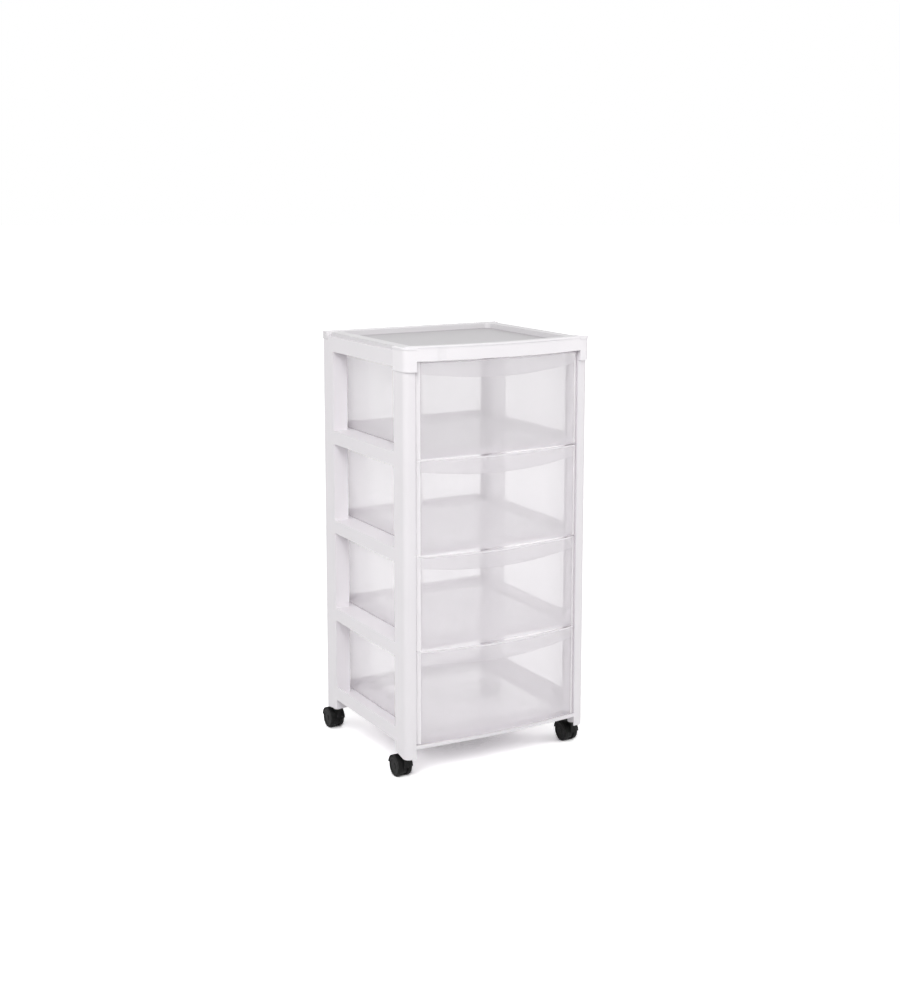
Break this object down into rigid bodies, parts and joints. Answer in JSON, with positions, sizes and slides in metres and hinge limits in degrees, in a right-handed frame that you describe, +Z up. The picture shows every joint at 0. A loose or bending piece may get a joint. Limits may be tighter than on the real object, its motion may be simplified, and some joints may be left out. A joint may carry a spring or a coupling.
{
  "type": "plastic drawer tower",
  "caption": "Plastic drawer tower on swivel casters, with an open ladder frame, frosted bow-fronted drawers with crescent pulls, a recessed top and a rounded rear bar.",
  "frame": {"origin": "on the floor, under the middle of the whole object's box", "axes": "+Z up, the drawers open towards -Y, +X to the right seen from the front"},
  "size_m": [0.3912, 0.3759, 0.7903],
  "materials": {
    "frame": "satin white moulded plastic",
    "top_panel": "satin white moulded plastic, reads light grey",
    "drawer": "frosted translucent plastic",
    "caster_black": "satin black plastic",
    "wheel_black": "black plastic tread",
    "socket": "black plastic grip sleeve",
    "steel": "zinc-plated steel"
  },
  "bodies": {
    "frame": {"left_side_frame": "frame", "right_side_frame": "frame", "top_tray": "top_panel", "front_top_rail": "frame", "back_rail": "frame", "base_front_rail": "frame", "base_rear_rail": "frame", "front_tie_1": "frame", "front_tie_2": "frame", "front_tie_3": "frame", "rear_tie_1": "frame", "rear_tie_2": "frame", "rear_tie_3": "frame", "caster_front_left_socket": "socket", "caster_front_right_socket": "socket", "caster_rear_left_socket": "socket", "caster_rear_right_socket": "socket"},
    "drawer_1": {"drawer_1": "drawer"},
    "drawer_2": {"drawer_2": "drawer"},
    "drawer_3": {"drawer_3": "drawer"},
    "drawer_4": {"drawer_4": "drawer"},
    "swivel_front_left": {"caster_front_left_body": "caster_black", "caster_front_left_stem": "steel", "caster_front_left_axle": "steel"},
    "wheel_front_left_left": {"caster_front_left_wheel_left": "wheel_black"},
    "wheel_front_left_right": {"caster_front_left_wheel_right": "wheel_black"},
    "swivel_front_right": {"caster_front_right_body": "caster_black", "caster_front_right_stem": "steel", "caster_front_right_axle": "steel"},
    "wheel_front_right_left": {"caster_front_right_wheel_left": "wheel_black"},
    "wheel_front_right_right": {"caster_front_right_wheel_right": "wheel_black"},
    "swivel_rear_left": {"caster_rear_left_body": "caster_black", "caster_rear_left_stem": "steel", "caster_rear_left_axle": "steel"},
    "wheel_rear_left_left": {"caster_rear_left_wheel_left": "wheel_black"},
    "wheel_rear_left_right": {"caster_rear_left_wheel_right": "wheel_black"},
    "swivel_rear_right": {"caster_rear_right_body": "caster_black", "caster_rear_right_stem": "steel", "caster_rear_right_axle": "steel"},
    "wheel_rear_right_left": {"caster_rear_right_wheel_left": "wheel_black"},
    "wheel_rear_right_right": {"caster_rear_right_wheel_right": "wheel_black"}
  },
  "joints": [
    {"name": "drawer_1_slide", "type": "slide", "parent": "frame", "child": "drawer_1", "axis": [0, -1, 0], "range_m": [0, 0.27]},
    {"name": "drawer_2_slide", "type": "slide", "parent": "frame", "child": "drawer_2", "axis": [0, -1, 0], "range_m": [0, 0.27]},
    {"name": "drawer_3_slide", "type": "slide", "parent": "frame", "child": "drawer_3", "axis": [0, -1, 0], "range_m": [0, 0.27]},
    {"name": "drawer_4_slide", "type": "slide", "parent": "frame", "child": "drawer_4", "axis": [0, -1, 0], "range_m": [0, 0.27]},
    {"name": "swivel_front_left_turn", "type": "hinge", "parent": "frame", "child": "swivel_front_left", "pos_m": [-0.1808, -0.1373, 0.042], "axis": [0, 0, 1], "continuous": true},
    {"name": "wheel_front_left_left_roll", "type": "hinge", "parent": "swivel_front_left", "child": "wheel_front_left_left", "pos_m": [-0.1808, -0.1193, 0.019], "axis": [1, 0, 0], "continuous": true},
    {"name": "wheel_front_left_right_roll", "type": "hinge", "parent": "swivel_front_left", "child": "wheel_front_left_right", "pos_m": [-0.1808, -0.1193, 0.019], "axis": [1, 0, 0], "continuous": true},
    {"name": "swivel_front_right_turn", "type": "hinge", "parent": "frame", "child": "swivel_front_right", "pos_m": [0.1808, -0.1373, 0.042], "axis": [0, 0, 1], "continuous": true},
    {"name": "wheel_front_right_left_roll", "type": "hinge", "parent": "swivel_front_right", "child": "wheel_front_right_left", "pos_m": [0.1808, -0.1193, 0.019], "axis": [1, 0, 0], "continuous": true},
    {"name": "wheel_front_right_right_roll", "type": "hinge", "parent": "swivel_front_right", "child": "wheel_front_right_right", "pos_m": [0.1808, -0.1193, 0.019], "axis": [1, 0, 0], "continuous": true},
    {"name": "swivel_rear_left_turn", "type": "hinge", "parent": "frame", "child": "swivel_rear_left", "pos_m": [-0.1808, 0.149, 0.042], "axis": [0, 0, 1], "continuous": true},
    {"name": "wheel_rear_left_left_roll", "type": "hinge", "parent": "swivel_rear_left", "child": "wheel_rear_left_left", "pos_m": [-0.1808, 0.167, 0.019], "axis": [1, 0, 0], "continuous": true},
    {"name": "wheel_rear_left_right_roll", "type": "hinge", "parent": "swivel_rear_left", "child": "wheel_rear_left_right", "pos_m": [-0.1808, 0.167, 0.019], "axis": [1, 0, 0], "continuous": true},
    {"name": "swivel_rear_right_turn", "type": "hinge", "parent": "frame", "child": "swivel_rear_right", "pos_m": [0.1808, 0.149, 0.042], "axis": [0, 0, 1], "continuous": true},
    {"name": "wheel_rear_right_left_roll", "type": "hinge", "parent": "swivel_rear_right", "child": "wheel_rear_right_left", "pos_m": [0.1808, 0.167, 0.019], "axis": [1, 0, 0], "continuous": true},
    {"name": "wheel_rear_right_right_roll", "type": "hinge", "parent": "swivel_rear_right", "child": "wheel_rear_right_right", "pos_m": [0.1808, 0.167, 0.019], "axis": [1, 0, 0], "continuous": true}
  ]
}
